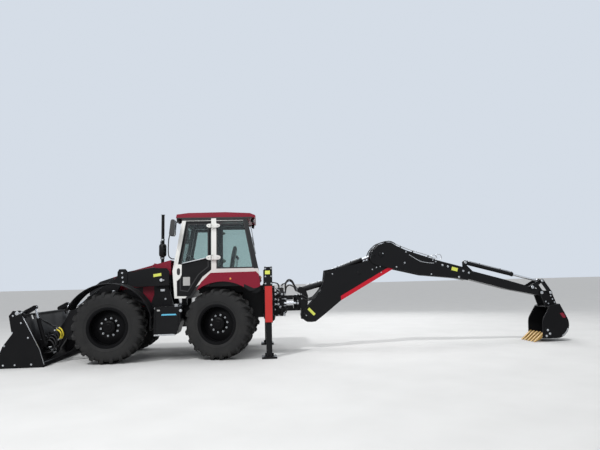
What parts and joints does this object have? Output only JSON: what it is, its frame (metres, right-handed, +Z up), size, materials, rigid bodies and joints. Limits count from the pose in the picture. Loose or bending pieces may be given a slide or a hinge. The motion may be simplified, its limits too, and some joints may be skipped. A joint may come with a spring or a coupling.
{
  "type": "backhoe loader",
  "caption": "Articulated backhoe loader with equal steered wheels, a clamshell front bucket, a glazed cab and a side-shifting backhoe stretched out behind.",
  "frame": {"origin": "on the ground, halfway along the whole machine and in its middle plane", "axes": "+X towards the backhoe, +Y to the machine's right when seen facing the backhoe's side from the left, +Z up; the front bucket points to -X"},
  "size_m": [12.0774, 2.695, 3.08],
  "materials": {
    "black_paint": "satin black machinery paint",
    "burgundy_paint": "glossy dark red paint",
    "white_paint": "satin white paint",
    "tinted_glass": "clear grey-green pane",
    "rod_chrome": "polished cylinder rod",
    "cast_iron": "dark grey casting",
    "tyre_rubber": "matte dark grey rubber",
    "seat_cover": "dark grey woven cover",
    "console_plastic": "grained dark plastic",
    "bare_steel": "bare steel of bolts, pin heads and pipes",
    "grained_plastic": "grained black plastic",
    "window_rubber": "black rubber profile",
    "hose_rubber": "black hose cover",
    "yellow_hose": "yellow woven hose cover",
    "red_plate_paint": "satin orange-red paint",
    "gold_tooth_paint": "worn gold paint",
    "pale_blue_paint": "pale blue line",
    "label_film": "blank yellow-green film",
    "lamp_lens": "lamp lens, clear, red or amber",
    "mirror_face": "mirror"
  },
  "bodies": {
    "chassis": {"chassis_frame": "black_paint", "engine_block": "cast_iron", "axles": "black_paint", "engine_panels": "burgundy_paint", "cab_frame": "white_paint", "cab_glass": "tinted_glass", "roof": "burgundy_paint", "seat": "seat_cover", "console": "console_plastic", "rear_fenders": "burgundy_paint", "front_fenders": "black_paint", "side_tanks": "black_paint", "exhaust_stack": "black_paint", "rear_frame": "black_paint"},
    "bonnet": {"bonnet": "burgundy_paint"},
    "door_left": {"door_left": "black_paint", "door_glass_left": "tinted_glass"},
    "door_right": {"door_right": "black_paint", "door_glass_right": "tinted_glass"},
    "stabiliser_left": {"stabiliser_left": "black_paint"},
    "stabiliser_right": {"stabiliser_right": "black_paint"},
    "loader_arms": {"loader_arms": "black_paint"},
    "lift_barrels": {"lift_barrels": "black_paint"},
    "lift_rods": {"lift_rods": "rod_chrome"},
    "tilt_barrels": {"tilt_barrels": "black_paint"},
    "tilt_rods": {"tilt_rods": "rod_chrome"},
    "tilt_levers": {"tilt_levers": "black_paint"},
    "tilt_links": {"tilt_links": "black_paint"},
    "front_bucket": {"front_bucket": "black_paint"},
    "bucket_jaw": {"bucket_jaw": "black_paint"},
    "jaw_rods": {"jaw_rods": "rod_chrome"},
    "carriage": {"carriage": "black_paint"},
    "swing_rod_left": {"swing_rod_left": "rod_chrome"},
    "swing_rod_right": {"swing_rod_right": "rod_chrome"},
    "kingpost": {"kingpost": "black_paint"},
    "boom": {"boom": "black_paint"},
    "boom_barrel": {"boom_barrel": "black_paint"},
    "boom_rod": {"boom_rod": "rod_chrome"},
    "dipper": {"dipper": "black_paint"},
    "dipper_barrel": {"dipper_barrel": "black_paint"},
    "dipper_rod": {"dipper_rod": "rod_chrome"},
    "stick": {"stick": "black_paint"},
    "curl_barrel": {"curl_barrel": "black_paint"},
    "curl_rod": {"curl_rod": "rod_chrome"},
    "curl_lever": {"curl_lever": "black_paint"},
    "curl_link": {"curl_link": "black_paint"},
    "rear_bucket": {"rear_bucket": "black_paint"},
    "knuckle_front_left": {"knuckle_front_left": "cast_iron"},
    "wheel_front_left": {"rim_front_left": "black_paint", "tyre_front_left": "tyre_rubber"},
    "knuckle_front_right": {"knuckle_front_right": "cast_iron"},
    "wheel_front_right": {"rim_front_right": "black_paint", "tyre_front_right": "tyre_rubber"},
    "knuckle_rear_left": {"knuckle_rear_left": "cast_iron"},
    "wheel_rear_left": {"rim_rear_left": "black_paint", "tyre_rear_left": "tyre_rubber"},
    "knuckle_rear_right": {"knuckle_rear_right": "cast_iron"},
    "wheel_rear_right": {"rim_rear_right": "black_paint", "tyre_rear_right": "tyre_rubber"}
  },
  "joints": [
    {"name": "steer_front_left", "type": "hinge", "parent": "chassis", "child": "knuckle_front_left", "pos_m": [-3.98871, -0.78, 0.7], "axis": [0, 0, 1], "range_deg": [-18, 18]},
    {"name": "wheel_front_left", "type": "hinge", "parent": "knuckle_front_left", "child": "wheel_front_left", "pos_m": [-3.98871, -0.98, 0.7], "axis": [0, 1, 0], "continuous": true},
    {"name": "steer_front_right", "type": "hinge", "parent": "chassis", "child": "knuckle_front_right", "pos_m": [-3.98871, 0.78, 0.7], "axis": [0, 0, 1], "range_deg": [-18, 18]},
    {"name": "wheel_front_right", "type": "hinge", "parent": "knuckle_front_right", "child": "wheel_front_right", "pos_m": [-3.98871, 0.98, 0.7], "axis": [0, 1, 0], "continuous": true},
    {"name": "steer_rear_left", "type": "hinge", "parent": "chassis", "child": "knuckle_rear_left", "pos_m": [-1.78871, -0.78, 0.7], "axis": [0, 0, 1], "range_deg": [-3, 33]},
    {"name": "wheel_rear_left", "type": "hinge", "parent": "knuckle_rear_left", "child": "wheel_rear_left", "pos_m": [-1.84047, -0.97318, 0.7], "axis": [0.2588, 0.9659, 0], "continuous": true},
    {"name": "steer_rear_right", "type": "hinge", "parent": "chassis", "child": "knuckle_rear_right", "pos_m": [-1.78871, 0.78, 0.7], "axis": [0, 0, 1], "range_deg": [-3, 33]},
    {"name": "wheel_rear_right", "type": "hinge", "parent": "knuckle_rear_right", "child": "wheel_rear_right", "pos_m": [-1.73695, 0.97318, 0.7], "axis": [0.2588, 0.9659, 0], "continuous": true},
    {"name": "door_left", "type": "hinge", "parent": "chassis", "child": "door_left", "pos_m": [-2.00871, -0.792, 2.38], "axis": [0, 0, 1], "range_deg": [0, 48]},
    {"name": "door_right", "type": "hinge", "parent": "chassis", "child": "door_right", "pos_m": [-2.00871, 0.792, 2.38], "axis": [0, 0, -1], "range_deg": [0, 48]},
    {"name": "bonnet_lid", "type": "hinge", "parent": "chassis", "child": "bonnet", "pos_m": [-3.29471, 0, 1.95467], "axis": [0, 1, 0], "range_deg": [0, 50]},
    {"name": "loader_lift", "type": "hinge", "parent": "chassis", "child": "loader_arms", "pos_m": [-3.09871, 0, 1.6], "axis": [0, 1, 0], "range_deg": [0, 86]},
    {"name": "lift_barrel", "type": "hinge", "parent": "chassis", "child": "lift_barrels", "pos_m": [-3.21871, 0, 1.01], "axis": [0, 1, 0], "range_deg": [-1, 61.54]},
    {"name": "lift_rod", "type": "slide", "parent": "lift_barrels", "child": "lift_rods", "axis": [-0.9169, 0, 0.3991], "range_m": [-0.002, 0.63241]},
    {"name": "bucket_tilt", "type": "hinge", "parent": "loader_arms", "child": "front_bucket", "pos_m": [-5.18871, 0, 0.27], "axis": [0, -1, 0], "range_deg": [-35, 120]},
    {"name": "tilt_lever", "type": "hinge", "parent": "loader_arms", "child": "tilt_levers", "pos_m": [-4.79371, 0, 0.77], "axis": [0, -1, 0], "range_deg": [-22.89, 76.07]},
    {"name": "tilt_link", "type": "hinge", "parent": "front_bucket", "child": "tilt_links", "pos_m": [-5.25871, 0, 0.47], "axis": [0, -1, 0], "range_deg": [-113.87, 33.92]},
    {"name": "tilt_barrel", "type": "hinge", "parent": "loader_arms", "child": "tilt_barrels", "pos_m": [-3.87871, 0, 1.76], "axis": [0, -1, 0], "range_deg": [-2.21, 5.13]},
    {"name": "tilt_rod", "type": "slide", "parent": "tilt_barrels", "child": "tilt_rods", "axis": [-0.8296, 0, -0.5584], "range_m": [-0.11225, 0.38001]},
    {"name": "jaw_open", "type": "hinge", "parent": "front_bucket", "child": "bucket_jaw", "pos_m": [-5.66871, 0, 1.025], "axis": [0, 1, 0], "range_deg": [0, 50]},
    {"name": "jaw_rod", "type": "slide", "parent": "front_bucket", "child": "jaw_rods", "axis": [-0.2933, 0, 0.956], "range_m": [-0.1545, 0.002]},
    {"name": "sideshift", "type": "slide", "parent": "chassis", "child": "carriage", "axis": [0, 1, 0], "range_m": [-0.56, 0.56]},
    {"name": "swing", "type": "hinge", "parent": "carriage", "child": "kingpost", "pos_m": [-0.19871, 0, 1.03], "axis": [0, 0, 1], "range_deg": [-70, 70]},
    {"name": "swing_rod_left", "type": "slide", "parent": "carriage", "child": "swing_rod_left", "axis": [1, 0, 0], "range_m": [-0.17314, 0.17314]},
    {"name": "swing_rod_right", "type": "slide", "parent": "carriage", "child": "swing_rod_right", "axis": [1, 0, 0], "range_m": [-0.17314, 0.17314]},
    {"name": "boom", "type": "hinge", "parent": "kingpost", "child": "boom", "pos_m": [-0.02871, 0, 0.76], "axis": [0, -1, 0], "range_deg": [-55, 48]},
    {"name": "boom_barrel", "type": "hinge", "parent": "kingpost", "child": "boom_barrel", "pos_m": [-0.11371, 0, 1.31], "axis": [0, -1, 0], "range_deg": [-56.52, 49.46]},
    {"name": "boom_rod", "type": "slide", "parent": "boom_barrel", "child": "boom_rod", "axis": [0.967, 0, 0.2549], "range_m": [-0.39248, 0.44942]},
    {"name": "dipper", "type": "hinge", "parent": "boom", "child": "dipper", "pos_m": [1.74231, 0, 2.07527], "axis": [0, 1, 0], "range_deg": [-8, 100]},
    {"name": "dipper_barrel", "type": "hinge", "parent": "boom", "child": "dipper_barrel", "pos_m": [0.51145, 0, 1.66065], "axis": [0, 1, 0], "range_deg": [-7.43, 1.51]},
    {"name": "dipper_rod", "type": "slide", "parent": "dipper_barrel", "child": "dipper_rod", "axis": [0.937, 0, 0.3494], "range_m": [-0.02274, 0.26121]},
    {"name": "stick_reach", "type": "slide", "parent": "dipper", "child": "stick", "axis": [0.9636, 0, -0.2672], "range_m": [-1.1, 0]},
    {"name": "bucket_curl", "type": "hinge", "parent": "stick", "child": "rear_bucket", "pos_m": [5.53271, 0, 1.10816], "axis": [0, 1, 0], "range_deg": [-100, 65]},
    {"name": "curl_lever", "type": "hinge", "parent": "stick", "child": "curl_lever", "pos_m": [5.31795, 0, 1.23932], "axis": [0, 1, 0], "range_deg": [-64.94, 42.56]},
    {"name": "curl_link", "type": "hinge", "parent": "rear_bucket", "child": "curl_link", "pos_m": [5.72836, 0, 1.10267], "axis": [0, 1, 0], "range_deg": [-48.55, 74.15]},
    {"name": "curl_barrel", "type": "hinge", "parent": "stick", "child": "curl_barrel", "pos_m": [3.78666, 0, 1.85078], "axis": [0, 1, 0], "range_deg": [-6.35, 4.48]},
    {"name": "curl_rod", "type": "slide", "parent": "curl_barrel", "child": "curl_rod", "axis": [0.9665, 0, -0.2567], "range_m": [-0.25158, 0.16423]},
    {"name": "stabiliser_left", "type": "slide", "parent": "chassis", "child": "stabiliser_left", "axis": [0, 0, 1], "range_m": [0, 0.5]},
    {"name": "stabiliser_right", "type": "slide", "parent": "chassis", "child": "stabiliser_right", "axis": [0, 0, 1], "range_m": [0, 0.5]}
  ],
  "couplings": [
    {"joint": "steer_front_right", "follows": "steer_front_left", "ratio": 1},
    {"joint": "steer_rear_right", "follows": "steer_rear_left", "ratio": 1},
    {"joint": "lift_barrel", "follows": "loader_lift", "ratio": 0.70391},
    {"joint": "lift_rod", "follows": "loader_lift", "m_per_rad": 0.42},
    {"joint": "tilt_lever", "follows": "bucket_tilt", "ratio": 0.62558},
    {"joint": "tilt_link", "follows": "bucket_tilt", "ratio": -0.94055},
    {"joint": "tilt_barrel", "follows": "bucket_tilt", "ratio": 0.034419},
    {"joint": "tilt_rod", "follows": "bucket_tilt", "m_per_rad": 0.18049},
    {"joint": "jaw_rod", "follows": "jaw_open", "m_per_rad": -0.17475},
    {"joint": "swing_rod_left", "follows": "swing", "m_per_rad": 0.13845},
    {"joint": "swing_rod_right", "follows": "swing", "m_per_rad": -0.13845},
    {"joint": "boom_barrel", "follows": "boom", "ratio": 1.0095},
    {"joint": "boom_rod", "follows": "boom", "m_per_rad": -0.4661},
    {"joint": "dipper_barrel", "follows": "dipper", "ratio": -0.064334},
    {"joint": "dipper_rod", "follows": "dipper", "m_per_rad": 0.14852},
    {"joint": "curl_lever", "follows": "bucket_curl", "ratio": 0.63935},
    {"joint": "curl_link", "follows": "bucket_curl", "ratio": -0.73152},
    {"joint": "curl_barrel", "follows": "bucket_curl", "ratio": 0.053504},
    {"joint": "curl_rod", "follows": "bucket_curl", "m_per_rad": 0.143}
  ]
}
